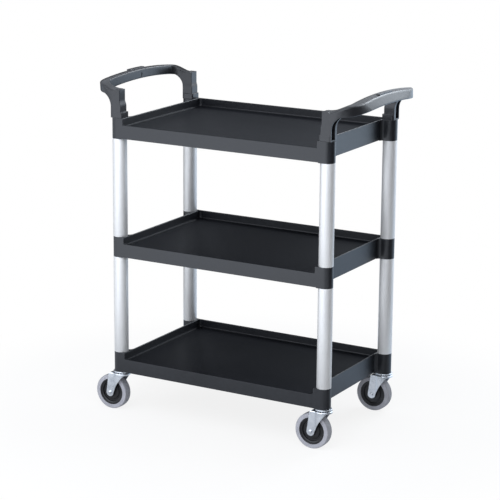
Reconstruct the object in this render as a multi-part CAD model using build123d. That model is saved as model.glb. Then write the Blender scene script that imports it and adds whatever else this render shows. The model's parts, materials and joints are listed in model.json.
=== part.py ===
from build123d import *
from math import asin, cos, radians, sin, tan
import os

# Three-shelf bussing cart: moulded shelves on aluminium tubes, a handle on each
# short end, and four swivel casters. Millimetres, +Z up. X runs along the cart's
# length, Y from its front to its back, and the origin is on the floor under its
# middle.

# Layout of the posts and shelves
POST_SPACING_X = 645.5
POST_SPACING_Y = 368.5
COLUMN_R = 20.0
COLUMN_HEIGHT = 57.5
LOWEST_COLUMN_Z = 116.0
SHELF_PITCH = 334.5

# Upright tubes and the spigots that they slip over
TUBE_WALL = 1.5
TUBE_EDGE = 0.6
SPIGOT_CLEARANCE = 0.1
SPIGOT_LENGTH = 40.0
SPIGOT_LEAD_IN = 2.0
COLUMN_BORE_R = 14.0

# Shelf tray, with heights above the bottom of its columns
TRAY_HALF_X = 304.0
WALL = 3.5
SKIRT_LIFT = 1.5
FLOOR_TOP = 33.0
FLOOR_THICKNESS = 3.5
FRONT_LIP_TOP = 40.0
FLOOR_FILLET_R = 5.0
INNER_CORNER_R = 8.0
COLUMN_FILLET_R = 10.0
RIM_EDGE_R = 1.5
RIB_THICKNESS = 2.5
RIB_DEPTH = 14.0
LONG_RIBS = 5
CROSS_RIBS = 8
SOCKET_BORE_R = 8.0
SOCKET_BORE_DEPTH = 44.0
SPIGOT_FLOOR_Z = 50.0

# Handle, with U measured outward from the post axis and heights above the floor
HANDLE_FRONT = 18.0
CUFF_HEIGHT = 15.0
CUFF_INNER_U = -19.0
CUFF_OUTER_U = 15.0
CUFF_PROUD = 0.7
CUFF_BACK = 17.2
CUFF_CORNER_R = 4.0
LEG_OUTER_U = 17.0
LEG_LOW_INNER_U = -14.5
LEG_HIGH_INNER_U = -11.5
LEG_LOW_BACK = 13.5
LEG_HIGH_BACK = 11.5
LEG_BEND_START_Z = 874.0
LEG_BEND_END_Z = 892.0
LEG_TOP_Z = 920.0
LEG_TOP_END_U = 8.0
LEG_SHOULDER_Z = 913.0
LEG_EDGE_R = 1.5
FLARE_R = 38.0
FLARE_START_Z = 873.0
LEG_PLATE = 2.8
LEG_RECESS_BACK = 4.0
LEG_RECESS_INNER_U = -3.0
LEG_RECESS_TOP_Z = 912.0
LEG_FLOOR = 3.0
PLUG_CLEARANCE = 0.1
PLUG_LENGTH = 36.0
GRIP_ARCH_R = 1420.0
GRIP_ARCH_SWEEP = 18.0
GRIP_TOP_Z = 948.0
GRIP_BOTTOM_Z = 920.8
GRIP_INNER_U = 49.0
GRIP_INNER_CORNER_R = 22.0
GRIP_INNER_EDGE_R = 3.5
GRIP_OUTER_EDGE_R = 5.0
GRIP_EDGE_R = 2.5
GRIP_TOP_LINE = [
    (-6.0, 932.4),
    (4.0, 932.8),
    (20.0, 935.8),
    (42.0, 944.4),
    (62.0, GRIP_TOP_Z),
    (82.0, 942.4),
    (102.0, 936.0),
]
ENVELOPE_BACK_U = -30.0
LOW_PLAN_Z = 900.0
LOW_PLAN_START_U = 9.0
LOW_PLAN_CORNER_R = 82.0
LOW_PLAN_BOW = 8.6
HIGH_PLAN_Z = 952.0
HIGH_PLAN_START_U = 36.0
HIGH_PLAN_CORNER_R = 34.0
HIGH_PLAN_BOW = 1.3
CORNER_EASE = 0.6
CORNER_START_PULL = 0.58
CORNER_END_PULL = 0.78
PAD_LENGTH = 76.0
PAD_WIDTH = 12.0
PAD_HEIGHT = 1.6
PAD_DEPTH = 6.0
PAD_U = 67.0
PAD_CORNER_R = 3.0
GATE_MARK_R = 6.5
GATE_MARK_DEPTH = 1.5
GATE_MARK_Z = 931.0

# Caster, with heights above the floor and X measured from its stem
WHEEL_R = 50.0
TRAIL = 28.5
RACE_PLATE_R = 23.4
RACE_PLATE_Z = 112.4
CROWN_R = 25.0
CROWN_TOP_Z = 109.7
CROWN_RIM_Z = 104.5
CROWN_EDGE_R = 2.2
SHEET = 2.6
BALL_R = 2.8
BALL_COUNT = 14
BALL_PITCH_R = 16.0
BALL_CLEARANCE = 0.1
KING_PIN_R = 6.0
KING_PIN_HEAD_R = 11.0
KING_PIN_HEAD_HEIGHT = 3.0
KING_PIN_PLAY = 0.3
RUNNING_FIT = 0.05
STEM_R = 5.5
STEM_LENGTH = 40.0
STEM_LEAD_IN = 1.5
SOCKET_FIT = 0.05
SOCKET_LENGTH = 42.0
SOCKET_GROOVE_R = 7.2
GRIP_RING_Z = 147.0
GRIP_RING_HEIGHT = 3.0
GRIP_RING_GROOVE_R = 4.6
GRIP_RING_R = 6.6
GRIP_RING_WIRE = 1.7
GRIP_RING_SPLIT = 2.0
FORK_HALF_INSIDE = 17.0
LEG_BACK_TOP_X = -32.0
LEG_END_R = 11.5
GUSSET_MIDDLE = (-1.0, 80.5)
GUSSET_TOP = (17.0, 105.0)
SHOULDER_R = 7.0
FORK_BEND_R = 3.5
AXLE_R = 4.0
AXLE_FIT = 0.05
BOLT_HEAD_R = 5.2
BOLT_HEAD_HEIGHT = 4.2
BOLT_END = 0.2
NUT_FLATS = 13.0
NUT_HEIGHT = 4.0
SLEEVE_R = 6.5
SLEEVE_END_GAP = 0.05
HUB_R = 37.7
HUB_HALF_BOSS = 16.4
HUB_FACE = [
    (11.0, HUB_HALF_BOSS),
    (12.5, 9.0),
    (22.0, 8.0),
    (23.5, 5.0),
    (28.5, 5.0),
    (30.0, 9.5),
    (33.0, 10.5),
    (34.0, 12.6),
    (HUB_R, 12.6),
]
TREAD_HALF = 13.0
TREAD_SHOULDER_R = 4.0
TREAD_CROWN = 0.6

# Worked out from the sizes above
POST_X = POST_SPACING_X / 2
POST_Y = POST_SPACING_Y / 2
TRAY_HALF_Y = POST_Y + COLUMN_R
SPIGOT_R = COLUMN_R - TUBE_WALL - SPIGOT_CLEARANCE
HANDLE_Z = LOWEST_COLUMN_Z + 2 * SHELF_PITCH + COLUMN_HEIGHT
HANDLE_FRONT_Y = POST_Y + HANDLE_FRONT
LEG_HIGH_BACK_Y = POST_Y - LEG_HIGH_BACK
BALL_Z = (RACE_PLATE_Z + CROWN_TOP_Z) / 2
FORK_HALF_OUTSIDE = FORK_HALF_INSIDE + SHEET
CORNERS = {
    "front_left": (-1, -1),
    "front_right": (1, -1),
    "back_left": (-1, 1),
    "back_right": (1, 1),
}
SHELF_BOTTOMS = {
    "bottom": LOWEST_COLUMN_Z,
    "middle": LOWEST_COLUMN_Z + SHELF_PITCH,
    "top": LOWEST_COLUMN_Z + 2 * SHELF_PITCH,
}
FROM_BOTTOM = (Align.CENTER, Align.CENTER, Align.MIN)
FROM_TOP = (Align.CENTER, Align.CENTER, Align.MAX)
BIG = 1000.0


def box_between(low, high):
    """A box from its lowest corner to its highest."""
    size = [b - a for a, b in zip(low, high)]
    return Pos(*low) * Box(*size, align=(Align.MIN, Align.MIN, Align.MIN))


def cylinder_between(radius, z_low, z_high):
    """An upright cylinder on the Z axis between two heights."""
    return Pos(0, 0, z_low) * Cylinder(radius, z_high - z_low, align=FROM_BOTTOM)


def turned(points):
    """A solid turned about the Z axis from (radius, height) points."""
    profile = Plane.XZ * make_face(Polyline(*points, close=True))
    return revolve(profile, Axis.Z)


def at_corner(shape, corner):
    """A copy of a shape, moved from the origin to a post."""
    x_side, y_side = CORNERS[corner]
    return Pos(x_side * POST_X, y_side * POST_Y, 0) * shape


# Shelves
def shelf_plan():
    """The shelf seen from above: a tray with a round column outside each corner."""
    web_y = POST_Y - COLUMN_R
    bend_x = TRAY_HALF_X + COLUMN_FILLET_R
    bend_y = web_y - COLUMN_FILLET_R
    middle = COLUMN_FILLET_R * sin(radians(45))
    outline = []
    for side in (-1, 1):
        outline.append(Line((-POST_X, side * TRAY_HALF_Y), (POST_X, side * TRAY_HALF_Y)))
        outline.append(Line((side * TRAY_HALF_X, -bend_y), (side * TRAY_HALF_X, bend_y)))
    for x, y in CORNERS.values():
        round_mid = (x * (POST_X + COLUMN_R), y * POST_Y)
        outline.append(ThreePointArc((x * POST_X, y * TRAY_HALF_Y), round_mid, (x * POST_X, y * web_y)))
        outline.append(Line((x * POST_X, y * web_y), (x * bend_x, y * web_y)))
        bend_mid = (x * (bend_x - middle), y * (bend_y + middle))
        outline.append(ThreePointArc((x * bend_x, y * web_y), bend_mid, (x * TRAY_HALF_X, y * bend_y)))
    return make_face(outline)


def tray_hollow():
    """The space over the shelf's floor, with rounded corners and floor edges."""
    height = COLUMN_HEIGHT
    half_x = TRAY_HALF_X - WALL
    half_y = TRAY_HALF_Y - WALL
    hollow = Pos(0, 0, FLOOR_TOP) * Box(2 * half_x, 2 * half_y, height, align=FROM_BOTTOM)
    hollow = fillet(hollow.edges().filter_by(Axis.Z), INNER_CORNER_R)
    return fillet(hollow.edges().group_by(Axis.Z)[0], FLOOR_FILLET_R)


def front_lip_cut():
    """What the front wall leaves out over its low lip, between the end walls."""
    half_x = TRAY_HALF_X - WALL
    inner_y = -TRAY_HALF_Y + WALL + INNER_CORNER_R
    low = (-half_x, -TRAY_HALF_Y - WALL, FRONT_LIP_TOP)
    return box_between(low, (half_x, inner_y, 2 * COLUMN_HEIGHT))


def underside_ribs():
    """Stiffening ribs under the floor, long ones and cross ones."""
    half_x = TRAY_HALF_X - WALL
    half_y = TRAY_HALF_Y - WALL
    top = FLOOR_TOP - FLOOR_THICKNESS
    ribs = []
    for i in range(LONG_RIBS):
        y = -half_y + (i + 1) * 2 * half_y / (LONG_RIBS + 1)
        ribs.append(Pos(0, y, top) * Box(2 * half_x, RIB_THICKNESS, RIB_DEPTH, align=FROM_TOP))
    for i in range(CROSS_RIBS):
        x = -half_x + (i + 1) * 2 * half_x / (CROSS_RIBS + 1)
        ribs.append(Pos(x, 0, top) * Box(RIB_THICKNESS, 2 * half_y, RIB_DEPTH, align=FROM_TOP))
    return ribs


def spigot(z_low, z_high, tip_up):
    """A spigot on the Z axis, with a lead-in at its free end."""
    solid = cylinder_between(SPIGOT_R, z_low, z_high)
    tip = solid.edges().group_by(Axis.Z)[-1 if tip_up else 0]
    return chamfer(tip, SPIGOT_LEAD_IN)


def edge_rounding(centre, outward, length):
    """What is taken off a straight top edge to round it."""
    along = Vector(*outward).cross(Vector(0, 0, 1))
    frame = Plane(origin=centre, x_dir=outward, z_dir=along)
    square = Pos(-RIM_EDGE_R / 2, -RIM_EDGE_R / 2) * Rectangle(RIM_EDGE_R, RIM_EDGE_R)
    corner = square - Pos(-RIM_EDGE_R, -RIM_EDGE_R) * Circle(RIM_EDGE_R)
    return extrude(frame * corner, length / 2, both=True)


def rim_roundings():
    """The roundings of the end walls, the back wall and the front lip."""
    half_x = TRAY_HALF_X - WALL
    half_y = TRAY_HALF_Y - WALL
    end_outside = 2 * (POST_Y - COLUMN_R - COLUMN_FILLET_R)
    end_inside = TRAY_HALF_Y + half_y - INNER_CORNER_R
    end_inside_y = end_inside / 2 - TRAY_HALF_Y
    back_inside = 2 * (half_x - INNER_CORNER_R)
    cuts = [
        edge_rounding((0, TRAY_HALF_Y, COLUMN_HEIGHT), (0, 1, 0), 2 * TRAY_HALF_X),
        edge_rounding((0, half_y, COLUMN_HEIGHT), (0, -1, 0), back_inside),
        edge_rounding((0, -TRAY_HALF_Y, FRONT_LIP_TOP), (0, -1, 0), 2 * half_x),
        edge_rounding((0, -half_y, FRONT_LIP_TOP), (0, 1, 0), 2 * half_x),
    ]
    for side in (-1, 1):
        outer = (side * TRAY_HALF_X, 0, COLUMN_HEIGHT)
        inner = (side * half_x, end_inside_y, COLUMN_HEIGHT)
        cuts.append(edge_rounding(outer, (side, 0, 0), end_outside))
        cuts.append(edge_rounding(inner, (-side, 0, 0), end_inside))
    return cuts


def shelf(level):
    """A shelf moulding, with the bottom of its columns at z = 0."""
    half_x = TRAY_HALF_X - WALL
    half_y = TRAY_HALF_Y - WALL
    under_top = FLOOR_TOP - FLOOR_THICKNESS
    body = extrude(shelf_plan(), COLUMN_HEIGHT)
    body -= Box(2 * TRAY_HALF_X, 3 * TRAY_HALF_Y, 2 * SKIRT_LIFT)
    body -= box_between((-half_x, -half_y, 0), (half_x, half_y, under_top))
    body -= tray_hollow()
    body -= front_lip_cut()
    body -= rim_roundings()
    body += underside_ribs()
    for corner in CORNERS:
        if level != "top":
            up = spigot(COLUMN_HEIGHT, COLUMN_HEIGHT + SPIGOT_LENGTH, True)
            body += at_corner(up, corner)
        if level != "bottom":
            body += at_corner(spigot(-SPIGOT_LENGTH, 0, False), corner)
    bore_low = SPIGOT_FLOOR_Z if level == "bottom" else -SPIGOT_LENGTH
    bore_high = COLUMN_HEIGHT + SPIGOT_LENGTH
    bore = cylinder_between(COLUMN_BORE_R, bore_low, bore_high)
    if level == "bottom":
        bore += cylinder_between(SOCKET_BORE_R, 0, SOCKET_BORE_DEPTH)
    for corner in CORNERS:
        body -= at_corner(bore, corner)
    return body


# Upright tubes
def tube():
    """A tube between two shelves, with its lower end at z = 0."""
    length = SHELF_PITCH - COLUMN_HEIGHT
    solid = cylinder_between(COLUMN_R, 0, length)
    solid -= cylinder_between(COLUMN_R - TUBE_WALL, 0, length)
    rims = [e for e in solid.edges().filter_by(GeomType.CIRCLE) if abs(e.radius - COLUMN_R) < 0.01]
    return chamfer(rims, TUBE_EDGE)


# Handles
def strap_plan(start_u, corner_r, bow, z, inset=0.0):
    """The outside of the handle's strap at one height, or a line inset from it, closed behind the legs."""
    front_y = HANDLE_FRONT_Y - inset
    joint_r = corner_r - inset
    sweep = radians(90 - bow)
    joint_y = front_y - joint_r * (1 - cos(sweep))
    bow_r = joint_y / sin(radians(bow))
    bow_centre_u = start_u + joint_r * sin(sweep) - bow_r * cos(radians(bow))
    end_y = joint_y - CORNER_EASE * joint_r
    end_u = bow_centre_u + bow_r * cos(asin(end_y / bow_r))
    tip_u = end_u - (front_y - end_y) * tan(asin(end_y / bow_r))
    first_u = start_u + CORNER_START_PULL * (tip_u - start_u)
    last_u = end_u + CORNER_END_PULL * (tip_u - end_u)
    last_y = end_y + CORNER_END_PULL * (front_y - end_y)
    corner = [(start_u, front_y), (first_u, front_y), (last_u, last_y), (end_u, end_y)]
    outline = [
        Line((ENVELOPE_BACK_U, -front_y), (start_u, -front_y)),
        Bezier(*[(u, -y) for u, y in corner]),
        ThreePointArc((end_u, -end_y), (bow_centre_u + bow_r, 0), (end_u, end_y)),
        Bezier(*reversed(corner)),
        Line((start_u, front_y), (ENVELOPE_BACK_U, front_y)),
        Line((ENVELOPE_BACK_U, front_y), (ENVELOPE_BACK_U, -front_y)),
    ]
    return Pos(0, 0, z) * make_face(outline)


def low_plan(inset=0.0):
    """The strap's outside where its lean starts, or a line inset from it."""
    return strap_plan(LOW_PLAN_START_U, LOW_PLAN_CORNER_R, LOW_PLAN_BOW, LOW_PLAN_Z, inset)


def handle_envelope():
    """The space within the handle's outer face: upright below, leaning inward above."""
    high = strap_plan(HIGH_PLAN_START_U, HIGH_PLAN_CORNER_R, HIGH_PLAN_BOW, HIGH_PLAN_Z)
    upright = extrude(low_plan(), HANDLE_Z - LOW_PLAN_Z)
    return loft([low_plan(), high], ruled=True) + upright


def grip_opening():
    """The hand space inside the strap, between the legs."""
    depth = GRIP_INNER_U + BIG / 4
    plan = Pos(GRIP_INNER_U - depth / 2, 0) * Rectangle(depth, 2 * LEG_HIGH_BACK_Y)
    outer = [v for v in plan.vertices() if v.X > 0]
    return extrude(fillet(outer, GRIP_INNER_CORNER_R), BIG)


def arched(section):
    """A section in U and height, swept over the cart's width along the grip's arch."""
    centre = Pos(0, 0, GRIP_TOP_Z - GRIP_ARCH_R)
    face = centre * Rot(-GRIP_ARCH_SWEEP / 2, 0, 0) * centre.inverse() * (Plane.XZ * section)
    return revolve(face, Axis(centre.position, (1, 0, 0)), GRIP_ARCH_SWEEP)


def strap():
    """The bowed and arched grip, with its arms as far as the legs."""
    top = Spline(*GRIP_TOP_LINE)
    start_u = GRIP_TOP_LINE[0][0]
    end_u = GRIP_TOP_LINE[-1][0]
    section = make_face(
        [
            top,
            Line(GRIP_TOP_LINE[-1], (end_u, GRIP_BOTTOM_Z)),
            Line((end_u, GRIP_BOTTOM_Z), (start_u, GRIP_BOTTOM_Z)),
            Line((start_u, GRIP_BOTTOM_Z), GRIP_TOP_LINE[0]),
        ]
    )
    solid = (arched(section) & handle_envelope()) - grip_opening()
    inner_top = min(across_edges(solid), key=lambda e: e.center().X - e.center().Z)
    solid = fillet(inner_top, GRIP_INNER_EDGE_R)
    outer_top = max(across_edges(solid), key=lambda e: e.center().X + 2 * e.center().Z)
    solid = fillet(outer_top, GRIP_OUTER_EDGE_R)
    low = [e for e in across_edges(solid) if e.center().Z < GRIP_BOTTOM_Z + 1]
    return fillet(low, GRIP_EDGE_R)


def across_edges(solid):
    """The long edges that run across the cart, along the grip."""
    return [e for e in solid.edges() if abs(e.center().Y) < 1 and e.length > HANDLE_FRONT_Y]


def leg_front_view():
    """The leg and its flare seen from the front: U across, height up."""
    bend_mid_z = (LEG_BEND_START_Z + LEG_BEND_END_Z) / 2
    bend_mid_u = (LEG_LOW_INNER_U + LEG_HIGH_INNER_U) / 2
    flare_u = LEG_OUTER_U + FLARE_R
    flare_z = FLARE_START_Z + FLARE_R
    outline = [
        Line((LEG_LOW_INNER_U, HANDLE_Z), (LEG_LOW_INNER_U, LEG_BEND_START_Z)),
        TangentArc(
            (LEG_LOW_INNER_U, LEG_BEND_START_Z), (bend_mid_u, bend_mid_z), tangent=(0, 1)
        ),
        TangentArc(
            (LEG_HIGH_INNER_U, LEG_BEND_END_Z), (bend_mid_u, bend_mid_z), tangent=(0, -1)
        ),
        Line((LEG_HIGH_INNER_U, LEG_BEND_END_Z), (LEG_HIGH_INNER_U, LEG_TOP_Z)),
        Line((LEG_HIGH_INNER_U, LEG_TOP_Z), (LEG_TOP_END_U, LEG_TOP_Z)),
        Line((LEG_TOP_END_U, LEG_TOP_Z), (LEG_OUTER_U, LEG_SHOULDER_Z)),
        Line((LEG_OUTER_U, LEG_SHOULDER_Z), (flare_u, LEG_SHOULDER_Z)),
        Line((flare_u, LEG_SHOULDER_Z), (flare_u, flare_z)),
        CenterArc((flare_u, FLARE_START_Z), FLARE_R, 90, 90),
        Line((LEG_OUTER_U, FLARE_START_Z), (LEG_OUTER_U, HANDLE_Z)),
        Line((LEG_OUTER_U, HANDLE_Z), (LEG_LOW_INNER_U, HANDLE_Z)),
    ]
    return make_face(outline)


def leg_side_view():
    """The front leg seen from its end: Y across, height up."""
    bend_mid_z = (LEG_BEND_START_Z + LEG_BEND_END_Z) / 2
    low_y = LEG_LOW_BACK - POST_Y
    high_y = LEG_HIGH_BACK - POST_Y
    bend_mid_y = (low_y + high_y) / 2
    outline = [
        Line((-HANDLE_FRONT_Y, HANDLE_Z), (low_y, HANDLE_Z)),
        Line((low_y, HANDLE_Z), (low_y, LEG_BEND_START_Z)),
        TangentArc((low_y, LEG_BEND_START_Z), (bend_mid_y, bend_mid_z), tangent=(0, 1)),
        TangentArc((high_y, LEG_BEND_END_Z), (bend_mid_y, bend_mid_z), tangent=(0, -1)),
        Line((high_y, LEG_BEND_END_Z), (high_y, LEG_TOP_Z)),
        Line((high_y, LEG_TOP_Z), (-HANDLE_FRONT_Y, LEG_TOP_Z)),
        Line((-HANDLE_FRONT_Y, LEG_TOP_Z), (-HANDLE_FRONT_Y, HANDLE_Z)),
    ]
    return make_face(outline)


def leg_recess():
    """The hollow in the front leg, open outward and down to the column's top."""
    low = (LEG_RECESS_INNER_U, -HANDLE_FRONT_Y, HANDLE_Z + LEG_FLOOR)
    high = (BIG / 4, LEG_RECESS_BACK - POST_Y, LEG_RECESS_TOP_Z)
    within = extrude(low_plan(LEG_PLATE), BIG / 4, both=True)
    return box_between(low, high) & within


def front_leg():
    """The front leg with its flare, cuff and plug."""
    front = extrude(Plane.XZ * leg_front_view(), BIG / 4, both=True)
    side = extrude(Plane.YZ * leg_side_view(), BIG / 4, both=True)
    leg = front & side & handle_envelope()
    inner_edges = [e for e in leg.edges() if e.center().X < LEG_HIGH_INNER_U + 1 and e.length > LEG_EDGE_R]
    leg = fillet([e for e in inner_edges if e.bounding_box().size.Z > LEG_EDGE_R], LEG_EDGE_R)
    cuff_low = (CUFF_INNER_U, -HANDLE_FRONT_Y - CUFF_PROUD, HANDLE_Z)
    cuff = box_between(cuff_low, (CUFF_OUTER_U, CUFF_BACK - POST_Y, HANDLE_Z + CUFF_HEIGHT))
    leg += fillet(cuff.edges().filter_by(Axis.Z), CUFF_CORNER_R)
    leg -= leg_recess()
    plug_r = COLUMN_BORE_R - PLUG_CLEARANCE
    plug = cylinder_between(plug_r, HANDLE_Z - PLUG_LENGTH, HANDLE_Z)
    plug = chamfer(plug.edges().group_by(Axis.Z)[0], SPIGOT_LEAD_IN)
    return leg + Pos(0, -POST_Y, 0) * plug


def grip_pad():
    """The plain raised pad on top of the grip."""
    plan = Pos(PAD_U, 0) * RectangleRounded(PAD_WIDTH, PAD_LENGTH, PAD_CORNER_R)
    top_z = GRIP_TOP_Z + PAD_HEIGHT
    section = Pos(PAD_U, top_z - PAD_DEPTH / 2) * Rectangle(2 * PAD_WIDTH, PAD_DEPTH)
    return extrude(plan, BIG) & arched(section)


def right_handle():
    """The handle of the right end, at its place on the cart."""
    leg = front_leg()
    body = strap() + leg + mirror(leg, Plane.XZ) + grip_pad()
    mark = Rot(0, 90, 0) * Cylinder(GATE_MARK_R, 2 * GATE_MARK_DEPTH)
    body -= Pos(GRIP_INNER_U, 0, GATE_MARK_Z) * mark
    return Pos(POST_X, 0, 0) * body


# Casters, built about their stem axis
def race_groove():
    """The ring that the swivel balls run in."""
    return Pos(0, 0, BALL_Z) * Torus(BALL_PITCH_R, BALL_R + BALL_CLEARANCE)


def caster_stem():
    """The stem, upper race plate and riveted king pin, which are one piece."""
    head_top = CROWN_TOP_Z - SHEET - KING_PIN_PLAY
    head_low = head_top - KING_PIN_HEAD_HEIGHT
    plate = cylinder_between(RACE_PLATE_R, RACE_PLATE_Z, LOWEST_COLUMN_Z)
    plate = fillet(plate.edges().filter_by(GeomType.CIRCLE), CROWN_EDGE_R / 2)
    plate -= race_groove()
    stem = cylinder_between(STEM_R, LOWEST_COLUMN_Z, LOWEST_COLUMN_Z + STEM_LENGTH)
    stem = chamfer(stem.edges().group_by(Axis.Z)[-1], STEM_LEAD_IN)
    groove_high = GRIP_RING_Z + GRIP_RING_HEIGHT
    groove = cylinder_between(STEM_R, GRIP_RING_Z, groove_high)
    groove -= cylinder_between(GRIP_RING_GROOVE_R, GRIP_RING_Z, groove_high)
    pin = cylinder_between(KING_PIN_R, head_low, RACE_PLATE_Z)
    head = cylinder_between(KING_PIN_HEAD_R, head_low, head_top)
    head = chamfer(head.edges().group_by(Axis.Z)[0], KING_PIN_HEAD_HEIGHT / 3)
    return plate + (stem - groove) + pin + head


def grip_ring():
    """The split spring ring that holds the stem in its socket."""
    low = GRIP_RING_Z + (GRIP_RING_HEIGHT - GRIP_RING_WIRE) / 2
    high = low + GRIP_RING_WIRE
    ring = cylinder_between(GRIP_RING_R, low, high)
    ring -= cylinder_between(GRIP_RING_R - GRIP_RING_WIRE, low, high)
    split = box_between((0, -GRIP_RING_SPLIT / 2, low), (2 * GRIP_RING_R, GRIP_RING_SPLIT / 2, high))
    return ring - split


def stem_socket():
    """The sleeve in the column that takes the stem."""
    high = LOWEST_COLUMN_Z + SOCKET_LENGTH
    sleeve = cylinder_between(SOCKET_BORE_R - SOCKET_FIT, LOWEST_COLUMN_Z, high)
    sleeve -= cylinder_between(STEM_R + SOCKET_FIT, LOWEST_COLUMN_Z, high)
    groove_high = GRIP_RING_Z + GRIP_RING_HEIGHT
    return sleeve - cylinder_between(SOCKET_GROOVE_R, GRIP_RING_Z, groove_high)


def swivel_balls():
    """The ring of balls between the upper race plate and the fork's crown."""
    step = 360 / BALL_COUNT
    place = Pos(BALL_PITCH_R, 0, BALL_Z)
    return Compound(children=[Rot(0, 0, i * step) * place * Sphere(BALL_R) for i in range(BALL_COUNT)])


def fork_crown():
    """The crown of the fork: a shallow cup upside down."""
    cup = cylinder_between(CROWN_R, CROWN_RIM_Z, CROWN_TOP_Z)
    cup = fillet(cup.edges().group_by(Axis.Z)[-1], CROWN_EDGE_R)
    return cup - cylinder_between(CROWN_R - SHEET, CROWN_RIM_Z, CROWN_TOP_Z - SHEET)


def fork_side_view():
    """The legs and shoulder of the fork from the side: X across, height up."""
    axle = (-TRAIL, WHEEL_R)
    outline = [
        Line((LEG_BACK_TOP_X, CROWN_TOP_Z), (-TRAIL - LEG_END_R, WHEEL_R)),
        CenterArc(axle, LEG_END_R, 180, 180),
        Spline((LEG_END_R - TRAIL, WHEEL_R), GUSSET_MIDDLE, GUSSET_TOP),
        Line(GUSSET_TOP, (GUSSET_TOP[0], CROWN_TOP_Z)),
        Line((GUSSET_TOP[0], CROWN_TOP_Z), (LEG_BACK_TOP_X, CROWN_TOP_Z)),
    ]
    view = make_face(outline)
    shoulder = [v for v in view.vertices() if v.X < 0 and v.Y > CROWN_TOP_Z - 1]
    return fillet(shoulder, SHOULDER_R)


def fork_sheet():
    """The sheet of the fork before trimming: a bent channel and a skirt round the crown."""
    back_x = LEG_BACK_TOP_X - LEG_END_R
    plate_z = CROWN_TOP_Z - SHEET
    channel = box_between((back_x, -FORK_HALF_OUTSIDE, 0), (0, FORK_HALF_OUTSIDE, CROWN_TOP_Z))
    channel = fillet(channel.edges().filter_by(Axis.X).group_by(Axis.Z)[-1], FORK_BEND_R)
    between = box_between((back_x, -FORK_HALF_INSIDE, 0), (0, FORK_HALF_INSIDE, plate_z))
    skirt = cylinder_between(CROWN_R, 0, CROWN_TOP_Z - CROWN_EDGE_R)
    return channel + skirt - between - cylinder_between(CROWN_R - SHEET, 0, plate_z)


def fork():
    """The pressed fork, trailing towards -X."""
    body = fork_sheet() & extrude(Plane.XZ * fork_side_view(), BIG / 4, both=True)
    body += fork_crown()
    body -= race_groove()
    body -= cylinder_between(KING_PIN_R + RUNNING_FIT, CROWN_RIM_Z, CROWN_TOP_Z)
    return body - on_axle(Cylinder(AXLE_R + AXLE_FIT, BIG / 4))


def on_axle(shape):
    """A shape built about the Z axis, turned onto the axle with +Z towards -Y."""
    return Pos(-TRAIL, 0, WHEEL_R) * Rot(90, 0, 0) * shape


def axle_bolt():
    """The bolt through the fork, with a domed head on the front side."""
    nut_end = -FORK_HALF_OUTSIDE - NUT_HEIGHT - BOLT_END
    shank = cylinder_between(AXLE_R, nut_end, FORK_HALF_OUTSIDE)
    head = cylinder_between(BOLT_HEAD_R, FORK_HALF_OUTSIDE, FORK_HALF_OUTSIDE + BOLT_HEAD_HEIGHT)
    head = fillet(head.edges().group_by(Axis.Z)[-1], BOLT_HEAD_HEIGHT * 0.6)
    return on_axle(shank + head)


def axle_nut():
    """The hexagon nut on the back side of the fork."""
    blank = extrude(RegularPolygon(NUT_FLATS / 2, 6, major_radius=False), -NUT_HEIGHT)
    crown = Pos(0, 0, -NUT_HEIGHT) * Cylinder(NUT_FLATS * 0.56, NUT_HEIGHT, align=FROM_BOTTOM)
    crown = chamfer(crown.edges().group_by(Axis.Z)[0], NUT_HEIGHT / 6)
    bore = Pos(0, 0, -NUT_HEIGHT) * Cylinder(AXLE_R + AXLE_FIT, NUT_HEIGHT, align=FROM_BOTTOM)
    return on_axle(Pos(0, 0, -FORK_HALF_OUTSIDE) * ((blank & crown) - bore))


def axle_sleeve():
    """The steel sleeve between the fork legs that the hub turns on."""
    half = FORK_HALF_INSIDE - SLEEVE_END_GAP
    sleeve = cylinder_between(SLEEVE_R, -half, half)
    return on_axle(sleeve - cylinder_between(AXLE_R + AXLE_FIT, -half, half))


def wheel_hub():
    """The hub, with a stepped dish in each face and a boss round its bore."""
    front = [(SLEEVE_R + RUNNING_FIT, HUB_HALF_BOSS)] + HUB_FACE
    back = [(radius, -width) for radius, width in reversed(front)]
    return on_axle(turned(front + back))


def wheel_tread():
    """The tread moulded round the hub, with rounded shoulders."""
    profile = make_face(
        [
            Line((HUB_R, -TREAD_HALF), (HUB_R, TREAD_HALF)),
            Line((HUB_R, TREAD_HALF), (WHEEL_R - TREAD_CROWN, TREAD_HALF)),
            ThreePointArc(
                (WHEEL_R - TREAD_CROWN, TREAD_HALF), (WHEEL_R, 0), (WHEEL_R - TREAD_CROWN, -TREAD_HALF)
            ),
            Line((WHEEL_R - TREAD_CROWN, -TREAD_HALF), (HUB_R, -TREAD_HALF)),
        ]
    )
    shoulders = [v for v in profile.vertices() if v.X > HUB_R + 1]
    profile = fillet(shoulders, TREAD_SHOULDER_R)
    return on_axle(revolve(Plane.XZ * profile, Axis.Z))


CASTER_PIECES = {
    "caster_stem": caster_stem,
    "grip_ring": grip_ring,
    "stem_socket": stem_socket,
    "swivel_balls": swivel_balls,
    "caster_fork": fork,
    "axle_bolt": axle_bolt,
    "axle_nut": axle_nut,
    "axle_sleeve": axle_sleeve,
    "wheel_hub": wheel_hub,
    "wheel_tread": wheel_tread,
}


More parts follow.
